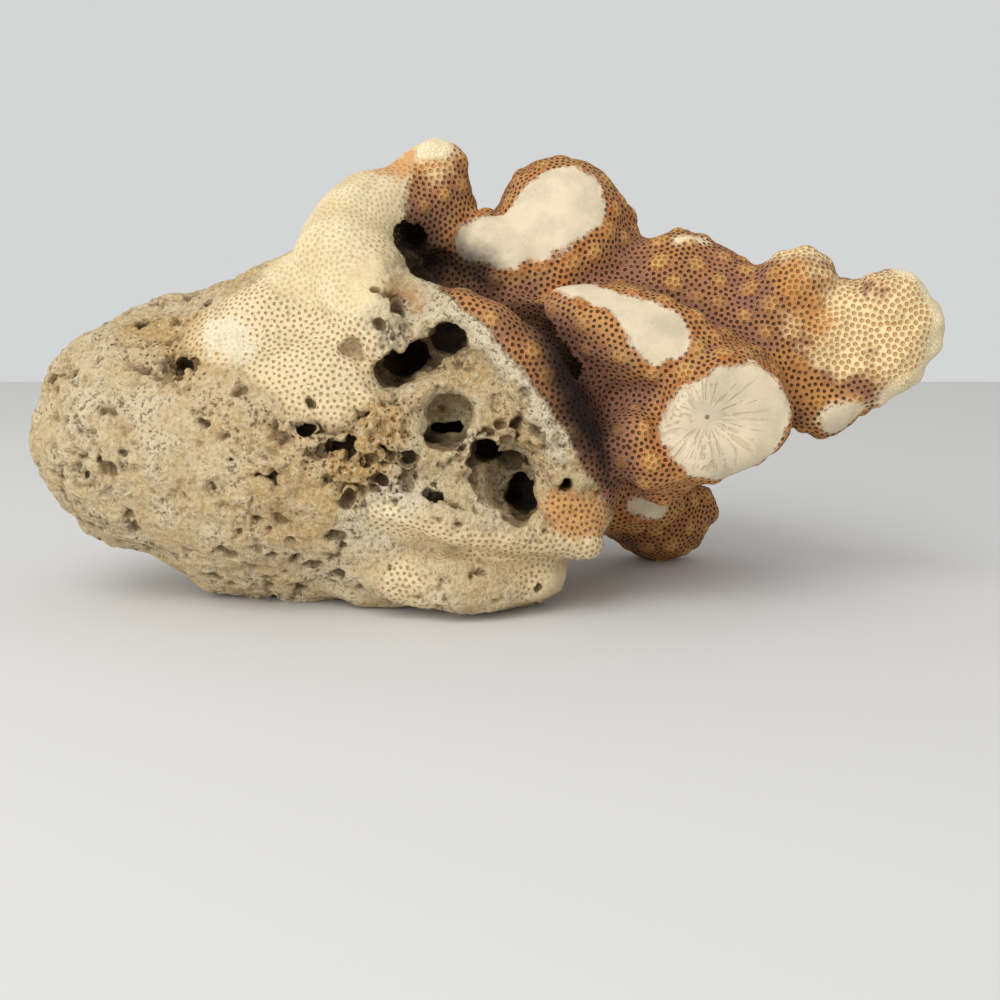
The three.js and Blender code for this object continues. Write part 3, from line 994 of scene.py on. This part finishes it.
    # both sides together, and the colour inside their pores, partly painted shade in the holes
    deadStain = times(stainShare, 0.75)
    skinTone = blend(livingShare, blend(deadStain, dead, "stain"), alive)
    deadPore = blend(deadStain, "faintPore", "rustPore")
    livingPore = blend(larger(paleShare, times(wartShare, 0.8)), "pore", "goldPore")
    poreShare = times(inPore, band(read("poreShow"), 0.05, 0.6), 0.92)
    poreShare = times(poreShare, minus(1.0, times(chalkShare, 0.8)))
    poreShare = times(poreShare, minus(1.0, times(paleShare, 0.22)))
    skinTone = blend(poreShare, skinTone, blend(livingShare, deadPore, livingPore))

    # worn branch ends, with growth lines that fan out over the front stub's disc
    wornShare = band(plus(wornEdge, times(fineJitter, 0.8)), -0.5, 0.7)
    wornTone = blend(band(patch, 0.4, 0.62), "worn", "wornGrey")
    wornSpecks = times(band(cells(1.3), 0.22, 0.10), band(patch, 0.50, 0.62))
    wornTone = blend(times(wornSpecks, 0.6), wornTone, "faintPore")
    fromHub = vectors("SUBTRACT", inMm, Vector(place(coralFinish["hub"]) / mm))[0]
    hubFar = vectors("LENGTH", fromHub)["Value"]
    ray = cloud(9.0, 2.0, 0.5, vectors("NORMALIZE", fromHub)[0])
    hubReach = times(band(hubFar, 11.5, 8.0), band(hubFar, 1.4, 3.4))
    rays = times(band(ray, 0.50, 0.66), hubReach, band(mottle, 0.42, 0.52))
    hub = band(hubFar, 0.55, 0.35)
    wornTone = blend(times(rays, 0.3), wornTone, "faintPore")
    wornTone = blend(times(hub, 0.8), wornTone, "dirtAndShade")
    skinTone = blend(wornShare, skinTone, wornTone)

    shade = tree.nodes.new("ShaderNodeHueSaturation")
    feed(shade.inputs["Color"], skinTone)
    grainShare = plus(0.16, times(minus(1.0, larger(livingShare, wornShare)), 0.5))
    # painted shadow: the living skin is darkened along the valley's blackest run
    paintedShadowShare = times(band(plus(read("paintedShadow"), times(jitter, 3.0)), -4.0, 3.0), livingShare)
    depthShade = minus(1.0, times(paintedShadowShare, 0.94))
    feed(shade.inputs["Value"], times(plus(1.0, times(fineJitter, grainShare)), depthShade))
    feed(shader.inputs["Base Color"], shade.outputs["Color"])
    shader.inputs["Roughness"].default_value = coralFinish["roughness"]
    shader.inputs["Specular IOR Level"].default_value = coralFinish["specular"]

    # relief finer than the mesh
    unworn = minus(1.0, wornShare)
    deadShare = times(minus(1.0, livingShare), unworn)
    roughShare = plus(0.10, times(deadShare, plus(0.18, rough), 2.4))
    height = times(plus(grit, times(mottle, 0.6)), roughShare)
    height = minus(height, times(specks, deadShare, 0.9))
    height = minus(height, times(poreShare, unworn, 0.7))
    height = plus(height, times(poreRing, livingShare, unworn, 0.12))
    height = minus(height, times(larger(rays, hub), wornShare, 0.3))
    bump = tree.nodes.new("ShaderNodeBump")
    bump.inputs["Strength"].default_value = coralFinish["bumpStrength"]
    bump.inputs["Distance"].default_value = coralFinish["bumpHeight"] * mm
    feed(bump.inputs["Height"], height)
    feed(shader.inputs["Normal"], bump.outputs["Normal"])
    return material


skeleton = addCoralMaterial()
mostTriangles = 188000
for i, name in enumerate(names):
    piece = pieceOf(coral, name, i)
    piece.data.materials.clear()
    piece.data.materials.append(skeleton)
    triangles = 2 * len(piece.data.polygons)
    if triangles > mostTriangles:
        finishWith(piece, "DECIMATE", ratio=mostTriangles / triangles)
    paint(piece)
    pick(piece)
    bpy.ops.object.shade_smooth()
    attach(piece, "root")
    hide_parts(name)
    print(piece.name, sum(len(face.vertices) - 2 for face in piece.data.polygons), "triangles")
bpy.data.objects.remove(coral)
print("pieces made")


stage = {
    "floorTone": (0.665, 0.66, 0.645, 1),
    "roomTone": (0.66, 0.665, 0.67, 1),
    # lamps: [place, width in metres, watts]
    "lamps": {
        "softbox": ((-0.24, -0.40, 0.52), 0.50, 2.20),
        "fill": ((-0.36, -0.52, 0.10), 0.40, 2.10),
    },
    "lampTarget": (0, 0, 0.04),
    "lens": 50,                         # mm
    "pitch": 10,                        # degrees that the camera looks down
    "aim": (0.5195, 0.3445, 0.206),     # shares of the coral's length, depth and height
    "reach": 1.584,                     # lengths of the coral from the camera to the aim
}


def addFloor():
    deselectAll()
    bpy.ops.mesh.primitive_plane_add(size=1.0, location=(0, -0.4, 0))
    floor = bpy.context.object
    floor.name = "floor"
    bpy.ops.object.mode_set(mode="EDIT")
    bpy.ops.transform.resize(value=(3.2, 1.6, 1), center_override=(0, -0.4, 0))
    bpy.ops.object.mode_set(mode="OBJECT")
    paper = bpy.data.materials.new("stagePaper")
    paper.use_nodes = True
    shader = paper.node_tree.nodes["Principled BSDF"]
    shader.inputs["Base Color"].default_value = stage["floorTone"]
    shader.inputs["Roughness"].default_value = 0.85
    floor.data.materials.append(paper)


def addLamp(name):
    location, size, energy = stage["lamps"][name]
    data = bpy.data.lights.new(name, "AREA")
    data.size = size
    data.energy = energy
    lamp = bpy.data.objects.new(name, data)
    bpy.context.scene.collection.objects.link(lamp)
    lamp.location = location
    towards = Vector(stage["lampTarget"]) - Vector(location)
    lamp.rotation_euler = towards.to_track_quat("-Z", "Y").to_euler()


def addRoom():
    world = bpy.data.worlds.new("room")
    bpy.context.scene.world = world
    world.use_nodes = True
    background = world.node_tree.nodes["Background"]
    background.inputs["Color"].default_value = stage["roomTone"]
    background.inputs["Strength"].default_value = 1.0
    bpy.context.scene.view_settings.view_transform = "Standard"


def addCamera():
    data = bpy.data.cameras.new("camera")
    data.lens = stage["lens"]
    data.sensor_width = 36
    data.clip_start = 0.01
    camera = bpy.data.objects.new("camera", data)
    bpy.context.scene.collection.objects.link(camera)
    pitch = math.radians(stage["pitch"])
    backwards = np.array((0, -math.cos(pitch), math.sin(pitch)))
    camera.location = place(stage["aim"]) + backwards * stage["reach"] * span[0]
    camera.rotation_euler = (math.radians(90) - pitch, 0, 0)
    bpy.context.scene.camera = camera


addFloor()
for name in stage["lamps"]:
    addLamp(name)
addRoom()
addCamera()
print("stage set")
